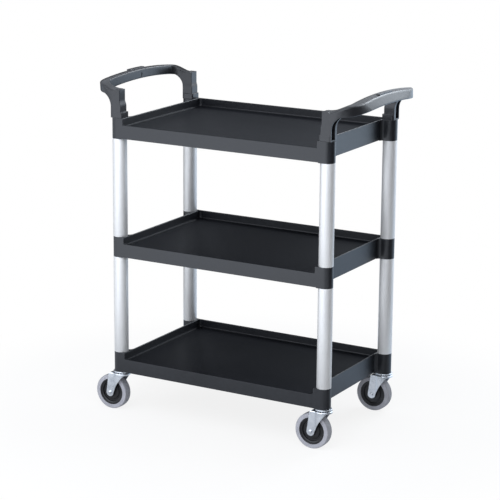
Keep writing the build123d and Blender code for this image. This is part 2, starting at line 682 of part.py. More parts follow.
def all_nodes():
    """Every node of the cart by name, at its place."""
    nodes = {}
    for level, z in SHELF_BOTTOMS.items():
        nodes[f"{level}_shelf"] = Pos(0, 0, z) * shelf(level)
    upright = tube()
    for row, level in (("lower", "bottom"), ("upper", "middle")):
        foot_z = SHELF_BOTTOMS[level] + COLUMN_HEIGHT
        for corner in CORNERS:
            nodes[f"{row}_tube_{corner}"] = at_corner(Pos(0, 0, foot_z) * upright, corner)
    nodes["right_handle"] = right_handle()
    nodes["left_handle"] = mirror(nodes["right_handle"], Plane.YZ)
    for piece, build in CASTER_PIECES.items():
        shape = build()
        for corner in CORNERS:
            nodes[f"{piece}_{corner}"] = at_corner(shape, corner)
    return nodes


os.makedirs("parts", exist_ok=True)
for name, shape in all_nodes().items():
    export_step(shape, f"parts/{name}.step")
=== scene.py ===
"""Studio picture of a three-shelf bussing cart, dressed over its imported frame."""
import json
import logging
import math
from dataclasses import dataclass
from enum import Enum
from typing import Mapping, Optional, Sequence, Union

import bpy
from mathutils import Matrix, Vector


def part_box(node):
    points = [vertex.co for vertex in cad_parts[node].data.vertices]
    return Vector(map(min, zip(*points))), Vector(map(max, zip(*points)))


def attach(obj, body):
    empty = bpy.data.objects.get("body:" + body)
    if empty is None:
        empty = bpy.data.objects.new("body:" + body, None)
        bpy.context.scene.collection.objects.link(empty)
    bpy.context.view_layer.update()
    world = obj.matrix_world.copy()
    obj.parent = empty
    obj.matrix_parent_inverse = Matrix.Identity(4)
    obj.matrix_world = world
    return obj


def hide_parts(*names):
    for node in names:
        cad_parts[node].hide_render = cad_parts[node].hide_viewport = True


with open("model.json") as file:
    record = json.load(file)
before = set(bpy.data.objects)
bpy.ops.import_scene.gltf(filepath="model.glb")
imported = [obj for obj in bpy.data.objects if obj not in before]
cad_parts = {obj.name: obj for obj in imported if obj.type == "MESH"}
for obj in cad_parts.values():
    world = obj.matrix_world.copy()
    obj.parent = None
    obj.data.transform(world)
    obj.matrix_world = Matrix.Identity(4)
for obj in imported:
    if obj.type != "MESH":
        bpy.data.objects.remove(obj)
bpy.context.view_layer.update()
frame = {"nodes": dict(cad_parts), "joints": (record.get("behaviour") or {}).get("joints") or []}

LOG = logging.getLogger("bussing_cart")

Colour = tuple[float, float, float]
Point2 = tuple[float, float]
EasedPoint = tuple[float, float, float]
Span = tuple[float, float]
Stretch = tuple[float, float, float]

BLACK: Colour = (0.0, 0.0, 0.0)
WHITE: Colour = (1.0, 1.0, 1.0)

# Plastic's index of refraction, how wide a drawing line is in metres, and the angle of a hard edge.
PLASTIC_IOR = 1.49
DRAWING_LINE = 0.0006
HARD_ANGLE = math.radians(32.0)

# What the frame gives: one tube's box, how far apart the posts are, and the shelves.
TUBE_LOW, TUBE_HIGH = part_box("lower_tube_front_left")
POST_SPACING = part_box("lower_tube_back_right")[0] - TUBE_LOW
SHELF_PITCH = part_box("upper_tube_front_left")[0].z - TUBE_LOW.z

# How far a softened normal turns along an edge, how nearly it agrees with the plain one at a
# shallow joint, and how much of a normal points up where a face counts as level.
EDGE_TURN: Span = (0.02, 0.22)
EDGE_SAMPLES = 6
JOINT_MATCH: Span = (0.985, 0.997)
JOINT_SAMPLES = 8
LEVEL: Span = (0.15, 0.55)
PEBBLE_SMOOTHNESS = 0.35

# A rounded corner takes up to this share of the lines beside it, and one this near straight is left.
CORNER_REACH = 0.49
STRAIGHT = 1e-3


class Slot(Enum):
    """The record's material slots."""

    SHELF = "shelf_plastic"
    HANDLE = "handle_plastic"
    TUBE = "tube_aluminium"
    PLATED = "plated_steel"
    SPRING = "spring_steel"
    BALL = "ball_steel"
    BOLT = "bolt_steel"
    SOCKET = "socket_plastic"
    HUB = "hub_plastic"
    TREAD = "tread_rubber"


class Corner(Enum):
    """The cart's four posts, as the frame's names spell them."""

    FRONT_LEFT = "front_left"
    FRONT_RIGHT = "front_right"
    BACK_LEFT = "back_left"
    BACK_RIGHT = "back_right"


class Ray(Enum):
    """The kinds of ray that the studio tells apart."""

    CAMERA = "Is Camera Ray"
    GLOSSY = "Is Glossy Ray"
    CLEAR = "Is Transmission Ray"


class Signal:
    """An output socket that can stand in arithmetic."""

    def __init__(self, wiring: "Wiring", socket: Optional[bpy.types.NodeSocket]) -> None:
        """Keeps the socket and the wiring that its sums are added to."""
        self.wiring = wiring
        self.socket = socket

    def _math(self, operation: str, first: "Value", second: "Value" = 0.0) -> "Signal":
        """Adds one Math node.

        Args:
            operation: The Math node's operation.
            first: The first number.
            second: The second number, where the operation has one.

        Returns:
            The node's result.
        """
        return self.wiring.node("ShaderNodeMath", {"operation": operation}, {0: first, 1: second})

    def __add__(self, other: "Value") -> "Signal":
        """The sum of two values."""
        return self._math("ADD", self, other)

    def __radd__(self, other: "Value") -> "Signal":
        """The sum, where the number stands first."""
        return self._math("ADD", other, self)

    def __sub__(self, other: "Value") -> "Signal":
        """The difference of two values."""
        return self._math("SUBTRACT", self, other)

    def __rsub__(self, other: "Value") -> "Signal":
        """The difference, where the number stands first."""
        return self._math("SUBTRACT", other, self)

    def __mul__(self, other: "Value") -> "Signal":
        """The product of two values."""
        return self._math("MULTIPLY", self, other)

    def __rmul__(self, other: "Value") -> "Signal":
        """The product, where the number stands first."""
        return self._math("MULTIPLY", other, self)

    def __mod__(self, other: "Value") -> "Signal":
        """What is left over after whole steps, counted up from below."""
        return self._math("FLOORED_MODULO", self, other)

    def highest(self, other: "Value") -> "Signal":
        """The larger of two values."""
        return self._math("MAXIMUM", self, other)

    def sine(self) -> "Signal":
        """The sine of the value, in radians."""
        return self._math("SINE", self)

    def step(self, low: float, high: float) -> "Signal":
        """A smooth step.

        Args:
            low: Where the step starts from 0.
            high: Where the step reaches 1.

        Returns:
            A value from 0 to 1.
        """
        settings = {"interpolation_type": "SMOOTHSTEP"}
        inputs = {"Value": self, "From Min": low, "From Max": high}
        return self.wiring.node("ShaderNodeMapRange", settings, inputs)


Value = Union[float, int, Sequence[float], Signal]
Paint = Union[Colour, Signal]


class Wiring:
    """A node tree that is filled one node at a time."""

    def __init__(self, tree: bpy.types.NodeTree) -> None:
        """Keeps the tree and empties it."""
        self.tree = tree
        tree.nodes.clear()

    def node(
        self,
        kind: str,
        settings: Optional[Mapping[str, object]] = None,
        inputs: Optional[Mapping[Union[int, str], object]] = None,
        output: Union[int, str] = 0,
    ) -> Signal:
        """Adds any node.

        Args:
            kind: The node's type.
            settings: The node's own settings, which are set before its sockets.
            inputs: The numbers or links of its sockets, by index, identifier or name.
            output: The socket that is returned, by index, identifier or name.

        Returns:
            The chosen output.
        """
        made = self.tree.nodes.new(kind)
        for name, value in (settings or {}).items():
            setattr(made, name, value)
        for key, value in (inputs or {}).items():
            socket = self._socket(made.inputs, key)
            if isinstance(value, Signal):
                self.tree.links.new(value.socket, socket)
            else:
                socket.default_value = value
        return Signal(self, self._socket(made.outputs, output) if len(made.outputs) else None)

    @staticmethod
    def _socket(sockets: Sequence[bpy.types.NodeSocket], key: Union[int, str]) -> bpy.types.NodeSocket:
        """Finds one of a node's sockets.

        Args:
            sockets: The node's inputs or its outputs.
            key: The socket's index, identifier or name.

        Returns:
            The socket.
        """
        if isinstance(key, int):
            return sockets[key]
        by_identifier = [s for s in sockets if s.identifier == key]
        return by_identifier[0] if by_identifier else sockets[key]

    @staticmethod
    def _paint(colour: Paint) -> Value:
        """A colour as a socket takes it."""
        return colour if isinstance(colour, Signal) else (*colour, 1.0)

    def along(self, vector: Signal, axis: str) -> Signal:
        """A vector's part along one axis."""
        return self.node("ShaderNodeSeparateXYZ", inputs={"Vector": vector}, output=axis)

    def ray(self, kind: Ray) -> Signal:
        """1 for rays of one kind, 0 for the others."""
        return self.node("ShaderNodeLightPath", output=kind.value)

    def blend(self, factor: Signal, first: Paint, second: Paint, clamped: bool = True) -> Signal:
        """A colour between two.

        Args:
            factor: 0 for the first colour, 1 for the second.
            first: The first colour.
            second: The second colour.
            clamped: Whether the factor stops at 0 and 1.

        Returns:
            The colour.
        """
        settings = {"data_type": "RGBA", "clamp_factor": clamped}
        inputs = {"Factor_Float": factor, "A_Color": self._paint(first), "B_Color": self._paint(second)}
        return self.node("ShaderNodeMix", settings, inputs, "Result_Color")

    def glow(self, colour: Paint) -> Signal:
        """A surface that shows its colour as it is, whatever the light."""
        return self.node("ShaderNodeEmission", inputs={"Color": self._paint(colour), "Strength": 1.0})


@dataclass(frozen=True)
class Cloud:
    """A cloudy pattern: how fine it is, and its share of the colour, the roughness and the relief."""

    per_metre: float
    detail: float = 2.0
    rough: float = 0.5
    span: Optional[Span] = None
    tint: float = 0.0
    matt: float = 0.0
    rise: float = 0.0
    stretch: Stretch = (1.0, 1.0, 1.0)

    def colouring(self, value: Signal) -> Signal:
        """What the pattern adds to the colour: a step over its span, where it has one."""
        return (value.step(*self.span) if self.span else value) * self.tint

    def dulling(self, value: Signal) -> Signal:
        """What the pattern adds to the roughness, about 0."""
        return (value - 0.5) * self.matt

    def raising(self, value: Signal) -> Signal:
        """What the pattern adds to the relief."""
        return value * self.rise


class Surface(Wiring):
    """The nodes of one material, with the patterns that the finishes share."""

    def __init__(self, tree: bpy.types.NodeTree) -> None:
        """Keeps the tree, empties it and has no coordinates yet."""
        super().__init__(tree)
        self.places: dict[Stretch, Signal] = {}

    def place(self, stretch: Stretch = (1.0, 1.0, 1.0)) -> Signal:
        """Object coordinates, made once for each stretch.

        Args:
            stretch: How far they are stretched along each axis.

        Returns:
            The coordinates.
        """
        if stretch not in self.places:
            at = self.node("ShaderNodeTexCoord", output="Object")
            inputs = {"Vector": at, "Scale": stretch}
            self.places[stretch] = self.node("ShaderNodeMapping", {"vector_type": "POINT"}, inputs)
        return self.places[stretch]

    def noise(self, cloud: Cloud) -> Signal:
        """Lays a cloudy pattern.

        Args:
            cloud: The pattern.

        Returns:
            A value about 0.5.
        """
        inputs = {
            "Vector": self.place(cloud.stretch),
            "Scale": cloud.per_metre,
            "Detail": cloud.detail,
            "Roughness": cloud.rough,
        }
        return self.node("ShaderNodeTexNoise", {"noise_dimensions": "3D"}, inputs, "Fac")

    def patches(self, cloud: Cloud) -> Signal:
        """A cloudy pattern as patches: 0 below its span and 1 above."""
        return self.noise(cloud).step(*cloud.span)

    def cells(self, size: float) -> Signal:
        """Rounded pebbles.

        Args:
            size: How far apart they are, in metres.

        Returns:
            The distance from the middle of each.
        """
        settings = {"feature": "SMOOTH_F1", "distance": "EUCLIDEAN"}
        inputs = {"Vector": self.place(), "Scale": 1.0 / size, "Smoothness": PEBBLE_SMOOTHNESS}
        return self.node("ShaderNodeTexVoronoi", settings, inputs, "Distance")

    def from_axle(self) -> Signal:
        """The distance from the axle, which a wheel's mesh carries."""
        return self.node("ShaderNodeAttribute", {"attribute_name": "from_axle"}, output="Fac")

    def rings(self, rate: float) -> Signal:
        """Fine rings round the axle, from 0 to 1, at so many radians for each metre outward."""
        return (self.from_axle() * rate).sine() * 0.5 + 0.5

    def upward(self) -> Signal:
        """1 on faces that look up, 0 on walls."""
        normal = self.node("ShaderNodeNewGeometry", output="Normal")
        return self.along(normal, "Z").step(*LEVEL)

    def softened(self, radius: float, samples: int) -> tuple[Signal, Signal]:
        """Rounds the normal near edges.

        Args:
            radius: How far the rounding reaches, in metres.
            samples: How many rays look for the edges.

        Returns:
            The rounded normal, and how nearly it agrees with the plain one.
        """
        soft = self.node("ShaderNodeBevel", {"samples": samples}, {"Radius": radius})
        plain = self.node("ShaderNodeNewGeometry", output="Normal")
        match = self.node("ShaderNodeVectorMath", {"operation": "DOT_PRODUCT"}, {0: soft, 1: plain}, "Value")
        return soft, match

    def eased(self, radius: float) -> tuple[Signal, Signal]:
        """Softens the edges.

        Args:
            radius: How wide the softened edge is, in metres.

        Returns:
            The softened normal, and 1 along the edges.
        """
        soft, match = self.softened(radius, EDGE_SAMPLES)
        return soft, (1.0 - match).step(*EDGE_TURN)

    def flowing(self, soft: Signal, radius: float) -> Signal:
        """Blends the shallow joints between faces that almost run on.

        Args:
            soft: The normal that holds at real edges.
            radius: How far the blend reaches, in metres.

        Returns:
            The blended normal.
        """
        wide, match = self.softened(radius, JOINT_SAMPLES)
        inputs = {"Factor_Float": match.step(*JOINT_MATCH), "A_Vector": soft, "B_Vector": wide}
        return self.node("ShaderNodeMix", {"data_type": "VECTOR"}, inputs, "Result_Vector")

    def bump(self, height: Signal, strength: float, depth: float, normal: Optional[Signal] = None) -> Signal:
        """A normal that follows a height.

        Args:
            height: The height, from 0 to 1.
            strength: How much of the relief shows.
            depth: The relief's depth in metres.
            normal: The normal that it starts from, where it isn't the mesh's own.

        Returns:
            The bumped normal.
        """
        inputs = {"Height": height, "Strength": strength, "Distance": depth}
        if normal is not None:
            inputs["Normal"] = normal
        return self.node("ShaderNodeBump", inputs=inputs)


def new_material(name: str) -> bpy.types.Material:
    """A material that is made of nodes.

    Args:
        name: The material's name.

    Returns:
        The material.
    """
    made = bpy.data.materials.new(name)
    made.use_nodes = True
    return made


def mesh_object(
    name: str,
    points: Sequence[Sequence[float]] = (),
    edges: Sequence[tuple[int, int]] = (),
    faces: Sequence[Sequence[int]] = (),
) -> bpy.types.Object:
    """A mesh as an object in the scene.

    Args:
        name: The name of both.
        points: The corners, in metres.
        edges: The edges that belong to no face.
        faces: The faces.

    Returns:
        The object.
    """
    mesh = bpy.data.meshes.new(name)
    mesh.from_pydata(list(points), list(edges), list(faces))
    made = bpy.data.objects.new(name, mesh)
    bpy.context.scene.collection.objects.link(made)
    return made


@dataclass(frozen=True)
class Finish:
    """A surface finish and the record's slot that it stands for."""

    name: str
    slot: Slot

    def material(self) -> bpy.types.Material:
        """The finish as a material, made once.

        Returns:
            The material.
        """
        known = bpy.data.materials.get(self.name)
        if known is not None:
            return known
        made = new_material(self.name)
        surface = Surface(made.node_tree)
        surface.node("ShaderNodeOutputMaterial", inputs={"Surface": self.shader(surface)})
        return made

    def shader(self, surface: Surface) -> Signal:
        """The finish's shader."""
        return surface.node("ShaderNodeBsdfPrincipled", inputs=self.sockets(surface))

    def sockets(self, surface: Surface) -> dict[str, object]:
        """What the shader's sockets take."""
        raise NotImplementedError


@dataclass(frozen=True)
class MouldedPlastic(Finish):
    """Injection-moulded plastic with a spark-eroded grain, whose depth is a share of its size."""

    deep: Colour
    pale: Colour
    # Colour along edges and creases: partly wear, partly a painted highlight.
    edge_wear_and_highlight: Colour
    roughness: float
    grain: float
    relief: float
    edge: float = 0.0012
    edge_polish: float = 0.05
    joint: float = 0.0
    flow: Cloud = Cloud(4.5, 3.0, span=(0.3, 0.75), tint=0.5, matt=0.10)
    mottle: Cloud = Cloud(85.0, 4.0, 0.6, span=(0.35, 0.8), tint=0.4, matt=0.10)
    specks_per_grain: float = 2.3
    speck_rise: float = 0.3
    grain_rise: float = 0.7
    grain_depth: float = 0.12

    def sockets(self, surface: Surface) -> dict[str, object]:
        """Flow marks, a fine grain, and polished edges whose lighter colour is partly wear and partly a
        painted highlight.

        Args:
            surface: The material's nodes.

        Returns:
            The shader's inputs.
        """
        flow = surface.noise(self.flow)
        mottle = surface.noise(self.mottle)
        pebbles = surface.cells(self.grain)
        specks = surface.noise(Cloud(self.specks_per_grain / self.grain))
        soft, edges = surface.eased(self.edge)
        if self.joint > 0.0:
            soft = surface.flowing(soft, self.joint)
        tone = self.flow.colouring(flow) + self.mottle.colouring(mottle)
        uneven = self.flow.dulling(flow) + self.mottle.dulling(mottle)
        body = surface.blend(tone, self.deep, self.pale)
        height = pebbles * self.grain_rise + specks * self.speck_rise
        return {
            # The edges turn lighter: partly wear, partly a painted highlight along them.
            "Base Color": surface.blend(edges, body, self.edge_wear_and_highlight),
            "Roughness": uneven + self.roughness - edges * self.edge_polish,
            "Normal": surface.bump(height, self.relief, self.grain_depth * self.grain, soft),
            "IOR": PLASTIC_IOR,
        }


@dataclass(frozen=True)
class ShelfPlastic(MouldedPlastic):
    """The shelves' plastic, with a duller pebbled floor in each tray."""

    floor_z: float = 0.149
    floor_pitch: float = SHELF_PITCH
    floor_under: float = 0.002
    floor_over: Span = (0.009, 0.012)
    floor_tone: Colour = (0.0060, 0.0068, 0.0090)
    floor_scuff: Colour = (0.022, 0.024, 0.029)
    floor_roughness: float = 0.52
    floor_gloss: float = 0.10
    pebble: float = 0.0016
    pebble_relief: float = 0.35
    pebble_depth: float = 0.00018
    drift: Cloud = Cloud(3.2, 3.0, span=(0.35, 0.75), tint=0.25, matt=0.12)
    streaks: Cloud = Cloud(1.0, 3.0, 0.6, span=(0.58, 0.78), stretch=(5.0, 260.0, 260.0))
    crossing: Cloud = Cloud(1.0, 3.0, 0.6, span=(0.62, 0.8), stretch=(240.0, 9.0, 240.0))
    worked: Cloud = Cloud(6.0, 3.0, 0.6, span=(0.45, 0.75))
    rub_tint: float = 0.5
    rub_polish: float = 0.12

    def on_floor(self, surface: Surface) -> Signal:
        """Finds the trays' floors.

        Args:
            surface: The material's nodes.

        Returns:
            1 on the floors, 0 on the rest.
        """
        height = surface.along(surface.place(), "Z")
        above = (height - (self.floor_z - self.floor_under)) % self.floor_pitch
        return surface.upward() * (1.0 - above.step(*self.floor_over))

    def shader(self, surface: Surface) -> Signal:
        """The walls' gloss, and the floors' dull pebble with the rubs of what slid over it.

        Args:
            surface: The material's nodes.

        Returns:
            The shader.
        """
        walls = super().shader(surface)
        drift = surface.noise(self.drift)
        pebbles = surface.cells(self.pebble)
        slid = surface.patches(self.streaks) + surface.patches(self.crossing)
        rubbed = slid * surface.patches(self.worked) * self.rub_tint
        tone = rubbed + self.drift.colouring(drift)
        inputs = {
            "Base Color": surface.blend(tone, self.floor_tone, self.floor_scuff),
            "Roughness": self.drift.dulling(drift) + self.floor_roughness - rubbed * self.rub_polish,
            "Normal": surface.bump(pebbles, self.pebble_relief, self.pebble_depth),
            "IOR": PLASTIC_IOR,
            "Specular IOR Level": self.floor_gloss,
        }
        floor = surface.node("ShaderNodeBsdfPrincipled", inputs=inputs)
        return surface.node("ShaderNodeMixShader", inputs={0: self.on_floor(surface), 1: walls, 2: floor})


@dataclass(frozen=True)
class DrawnAluminium(Finish):
    """Satin anodised tube with fine lengthwise drawing lines."""

    dull: Colour = (0.635, 0.635, 0.635)
    bright: Colour = (0.72, 0.715, 0.705)
    roughness: float = 0.54
    metal: float = 0.55
    lines: Cloud = Cloud(
        1.0 / DRAWING_LINE, 3.0, 0.6, span=(0.25, 0.8), tint=0.5, matt=0.06, stretch=(1.0, 1.0, 0.006)
    )
    bands: Cloud = Cloud(160.0, span=(0.3, 0.7), tint=0.3, stretch=(1.0, 1.0, 0.02))
    film: Cloud = Cloud(22.0, 4.0, 0.6, span=(0.3, 0.75), tint=0.2, matt=0.05)
    relief: float = 0.10
    depth: float = 0.00002

    def sockets(self, surface: Surface) -> dict[str, object]:
        """Drawing lines along the tube, and a cloudy anodised film.

        Args:
            surface: The material's nodes.

        Returns:
            The shader's inputs.
        """
        lines = surface.noise(self.lines)
        bands = surface.noise(self.bands)
        film = surface.noise(self.film)
        tone = self.lines.colouring(lines) + self.bands.colouring(bands) + self.film.colouring(film)
        return {
            "Base Color": surface.blend(tone, self.dull, self.bright),
            "Metallic": self.metal,
            "Roughness": self.lines.dulling(lines) + self.film.dulling(film) + self.roughness,
            "Normal": surface.bump(lines, self.relief, self.depth),
        }


@dataclass(frozen=True)
class ZincPlate(Finish):
    """Bright zinc plate on pressed or turned steel."""

    grey: Colour = (0.66, 0.69, 0.73)
    white: Colour = (0.84, 0.86, 0.885)
    roughness: float = 0.3
    edge: float = 0.0007
    edge_tint: float = 0.35
    edge_polish: float = 0.08
    bloom: Cloud = Cloud(55.0, 5.0, 0.62, span=(0.3, 0.72), tint=0.6, matt=0.22)
    rolled: Cloud = Cloud(900.0, tint=0.2, matt=0.12, rise=0.5, stretch=(1.0, 1.0, 0.08))
    specks: Cloud = Cloud(2600.0, rise=0.5)
    relief: float = 0.2
    depth: float = 0.00004

    def sockets(self, surface: Surface) -> dict[str, object]:
        """A cloudy plated film over rolled sheet, with bright rubbed edges.

        Args:
            surface: The material's nodes.

        Returns:
            The shader's inputs.
        """
        bloom = surface.noise(self.bloom)
        rolled = surface.noise(self.rolled)
        specks = surface.noise(self.specks)
        soft, edges = surface.eased(self.edge)
        tone = self.bloom.colouring(bloom) + self.rolled.colouring(rolled) + edges * self.edge_tint
        uneven = self.bloom.dulling(bloom) + self.rolled.dulling(rolled)
        height = self.specks.raising(specks) + self.rolled.raising(rolled)
        return {
            "Base Color": surface.blend(tone, self.grey, self.white),
            "Metallic": 1.0,
            "Roughness": uneven + self.roughness - edges * self.edge_polish,
            "Normal": surface.bump(height, self.relief, self.depth, soft),
        }


@dataclass(frozen=True)
class TreadRubber(Finish):
    """Grey moulded tread, darker where it runs on the floor: partly floor dirt, partly painted shade."""

    wall: Colour = (0.34, 0.342, 0.378)
    pale: Colour = (0.44, 0.442, 0.482)
    # Colour of the running face: partly floor dirt, partly painted shade.
    running_shade_and_dirt: Colour = (0.24, 0.242, 0.262)
    roughness: float = 0.58
    running: Span = (0.0475, 0.0493)
    bloom: Cloud = Cloud(60.0, 4.0, 0.6, span=(0.3, 0.75), tint=0.6, matt=0.15)
    specks: Cloud = Cloud(1500.0, 3.0, tint=0.2, rise=0.7)
    smears: Cloud = Cloud(420.0, 4.0, 0.6, span=(0.2, 0.8), tint=0.35)
    shade_and_dirt_tint: float = 0.6
    dirt_matt: float = 0.12
    ring_rate: float = 5200.0
    ring_rise: float = 0.3
    relief: float = 0.25
    depth: float = 0.00008

    def sockets(self, surface: Surface) -> dict[str, object]:
        """Cloudy rubber, a fine mould grain, and a darker running face that is partly floor dirt, partly
        painted shade.

        Args:
            surface: The material's nodes.

        Returns:
            The shader's inputs.
        """
        bloom = surface.noise(self.bloom)
        specks = surface.noise(self.specks)
        smears = surface.noise(self.smears)
        on_tread = surface.from_axle().step(*self.running)
        # The running face is darkened: partly floor dirt, partly painted shade.
        shade_and_dirt = on_tread * (self.smears.colouring(smears) + self.shade_and_dirt_tint)
        clean = surface.blend(
            self.bloom.colouring(bloom) + self.specks.colouring(specks), self.wall, self.pale
        )
        height = self.specks.raising(specks) + surface.rings(self.ring_rate) * self.ring_rise
        return {
            "Base Color": surface.blend(shade_and_dirt, clean, self.running_shade_and_dirt),
            "Roughness": self.bloom.dulling(bloom) + shade_and_dirt * self.dirt_matt + self.roughness,
            "Normal": surface.bump(height, self.relief, self.depth),
        }


@dataclass(frozen=True)
class HubPlastic(Finish):
    """Black moulded hub with faint turning marks from its mould."""

    deep: Colour = (0.006, 0.006, 0.007)
    pale: Colour = (0.016, 0.016, 0.018)
    roughness: float = 0.34
    bloom: Cloud = Cloud(70.0, 4.0, 0.6, span=(0.35, 0.8), tint=0.7, matt=0.2)
    ring_rate: float = 7400.0
    ring_tint: float = 0.2
    ring_matt: float = 0.06
    relief: float = 0.12
    depth: float = 0.00005

    def sockets(self, surface: Surface) -> dict[str, object]:
        """Concentric mould marks and a cloudy sheen.

        Args:
            surface: The material's nodes.

        Returns:
            The shader's inputs.
        """
        bloom = surface.noise(self.bloom)
        rings = surface.rings(self.ring_rate)
        tone = self.bloom.colouring(bloom) + rings * self.ring_tint
        return {
            "Base Color": surface.blend(tone, self.deep, self.pale),
            "Roughness": self.bloom.dulling(bloom) + rings * self.ring_matt + self.roughness,
            "Normal": surface.bump(rings, self.relief, self.depth),
            "IOR": PLASTIC_IOR,
        }


class Recipe(Wiring):
    """A geometry node tree with named sizes, grown into a plain mesh."""

    def __init__(self, name: str, sizes: Mapping[str, Union[float, int]]) -> None:
        """Makes the tree and its inputs.

        Args:
            name: The tree's name.
            sizes: The named inputs and their values; whole numbers become counts.
        """
        super().__init__(bpy.data.node_groups.new(name, "GeometryNodeTree"))
        self.sizes = dict(sizes)
        face = self.tree.interface
        face.new_socket("Geometry", in_out="INPUT", socket_type="NodeSocketGeometry")
        for label, value in self.sizes.items():
            kind = "NodeSocketInt" if isinstance(value, int) else "NodeSocketFloat"
            face.new_socket(label, in_out="INPUT", socket_type=kind)
        face.new_socket("Geometry", in_out="OUTPUT", socket_type="NodeSocketGeometry")
        self.entry = self.tree.nodes.new("NodeGroupInput")

    def size(self, label: str) -> Signal:
        """A named size, or the geometry that comes in."""
        return Signal(self, self.entry.outputs[label])

    def vector(self, x: Value = 0.0, y: Value = 0.0, z: Value = 0.0) -> Signal:
        """Three numbers as one vector."""
        return self.node("ShaderNodeCombineXYZ", inputs={"X": x, "Y": y, "Z": z})

    def ring(self, sides: Signal, radius: Signal) -> Signal:
        """Sweeps the section that comes in round the Z axis.

        Args:
            sides: How many flats the ring has.
            radius: How far the section's origin is from the axis.

        Returns:
            The ring.
        """
        section = self.node("GeometryNodeMeshToCurve", inputs={"Mesh": self.size("Geometry")})
        inputs = {"Resolution": sides, "Radius": radius}
        path = self.node("GeometryNodeCurvePrimitiveCircle", {"mode": "RADIUS"}, inputs)
        swept = self.node("GeometryNodeCurveToMesh", inputs={"Curve": path, "Profile Curve": section})
        return self.node("GeometryNodeTransform", inputs={"Geometry": swept, "Rotation": (math.pi, 0.0, 0.0)})

    def repeat(self, points: Signal, piece: Signal) -> Signal:
        """One piece on every point."""
        return self.node("GeometryNodeInstanceOnPoints", inputs={"Points": points, "Instance": piece})

    def real(self, geometry: Signal) -> Signal:
        """Instances as plain geometry."""
        return self.node("GeometryNodeRealizeInstances", inputs={"Geometry": geometry})

    def grow(self, host: bpy.types.Object, geometry: Signal, finish: Finish) -> bpy.types.Object:
        """Closes the tree, runs it once and leaves a plain mesh.

        Args:
            host: The object that the tree works on.
            geometry: The tree's result, instances and all.
            finish: The finish of the piece.

        Returns:
            The host, with its new mesh and no modifier.
        """
        smooth = self.node("GeometryNodeSetShadeSmooth", inputs={"Geometry": self.real(geometry)})
        inputs = {"Geometry": smooth, "Material": finish.material()}
        dressed = self.node("GeometryNodeSetMaterial", inputs=inputs)
        self.node("NodeGroupOutput", inputs={"Geometry": dressed})
        modifier = host.modifiers.new("grow", "NODES")
        modifier.node_group = self.tree
        for item in self.tree.interface.items_tree:
            if item.in_out == "INPUT" and item.name in self.sizes:
                modifier[item.identifier] = self.sizes[item.name]
        depsgraph = bpy.context.evaluated_depsgraph_get()
        mesh = bpy.data.meshes.new_from_object(host.evaluated_get(depsgraph), depsgraph=depsgraph)
        host.modifiers.remove(modifier)
        host.data = mesh
        mesh.set_sharp_from_angle(angle=HARD_ANGLE)
        return host


def section_object(name: str, outline: Sequence[Point2]) -> bpy.types.Object:
    """A closed outline in the XY plane, as an object in the scene.

    Args:
        name: The object's name.
        outline: The corners in order, in metres.

    Returns:
        The object.
    """
    count = len(outline)
    loop = [(i, (i + 1) % count) for i in range(count)]
    return mesh_object(name, [(x, y, 0.0) for x, y in outline], loop)


def rounded(outline: Sequence[EasedPoint], steps: int = 5) -> list[Point2]:
    """Rounds the corners of a closed outline.

    Args:
        outline: The corners in order, each with its own radius.
        steps: How many pieces a rounded corner has.

    Returns:
        The outline with arcs in place of its corners.
    """
    result: list[Point2] = []
    count = len(outline)
    for i, (x, y, radius) in enumerate(outline):
        here = Vector((x, y))
        before = Vector(outline[i - 1][:2]) - here
        after = Vector(outline[(i + 1) % count][:2]) - here
        opening = before.angle(after)
        if radius <= 0.0 or abs(opening - math.pi) < STRAIGHT:
            result.append((x, y))
            continue
        longest = min(before.length, after.length) * CORNER_REACH
        reach = min(radius / math.tan(opening / 2), longest)
        start = here + before.normalized() * reach
        end = here + after.normalized() * reach
        for k in range(steps + 1):
            t = k / steps
            bent = start * (1 - t) ** 2 + here * 2 * t * (1 - t) + end * t**2
            result.append((bent.x, bent.y))
    return result


def joint_place(name: str) -> Vector:
    """Where one of the frame's joints stands."""
    return next(Vector(joint["pos_m"]) for joint in frame["joints"] if joint["name"] == name)


SHELF_FINISH = ShelfPlastic(
    "shelf_grain",
    Slot.SHELF,
    deep=(0.0062, 0.0072, 0.0096),
    pale=(0.0125, 0.0140, 0.0180),
    edge_wear_and_highlight=(0.085, 0.089, 0.096),
    roughness=0.36,
    grain=0.0010,
    relief=0.20,
)
HANDLE_FINISH = MouldedPlastic(
    "handle_grain",
    Slot.HANDLE,
    deep=(0.012, 0.0128, 0.0152),
    pale=(0.021, 0.022, 0.0255),
    edge_wear_and_highlight=(0.060, 0.063, 0.070),
    roughness=0.32,
    grain=0.0007,
    relief=0.20,
    joint=0.007,
)
SOCKET_FINISH = MouldedPlastic(
    "socket_sleeve",
    Slot.SOCKET,
    deep=(0.15, 0.15, 0.15),
    pale=(0.20, 0.20, 0.20),
    edge_wear_and_highlight=(0.26, 0.26, 0.26),
    roughness=0.5,
    grain=0.0006,
    relief=0.2,
    edge=0.0006,
)
TUBE_FINISH = DrawnAluminium("satin_tube", Slot.TUBE)
FORK_FINISH = ZincPlate("zinc_pressing", Slot.PLATED)
BOLT_FINISH = ZincPlate(
    "zinc_bolt", Slot.BOLT, grey=(0.62, 0.64, 0.67), white=(0.88, 0.89, 0.9), roughness=0.22, edge=0.0005
)
SPRING_FINISH = ZincPlate(
    "bare_spring", Slot.SPRING, grey=(0.34, 0.35, 0.36), white=(0.52, 0.53, 0.55), roughness=0.35, edge=0.0003
)
BALL_FINISH = ZincPlate(
    "polished_ball", Slot.BALL, grey=(0.70, 0.71, 0.72), white=(0.86, 0.86, 0.87), roughness=0.12, edge=0.0002
)
HUB_FINISH = HubPlastic("hub_rings", Slot.HUB)
TREAD_FINISH = TreadRubber("grey_tread", Slot.TREAD)


def dress(finish: Finish, *nodes: str) -> None:
    """Gives carried-over nodes their finish.

    Args:
        finish: The finish.
        nodes: The names of the nodes.
    """
    for name in nodes:
        frame["nodes"][name].material_slots[0].material = finish.material()
        LOG.info("%s is dressed in %s", name, finish.name)


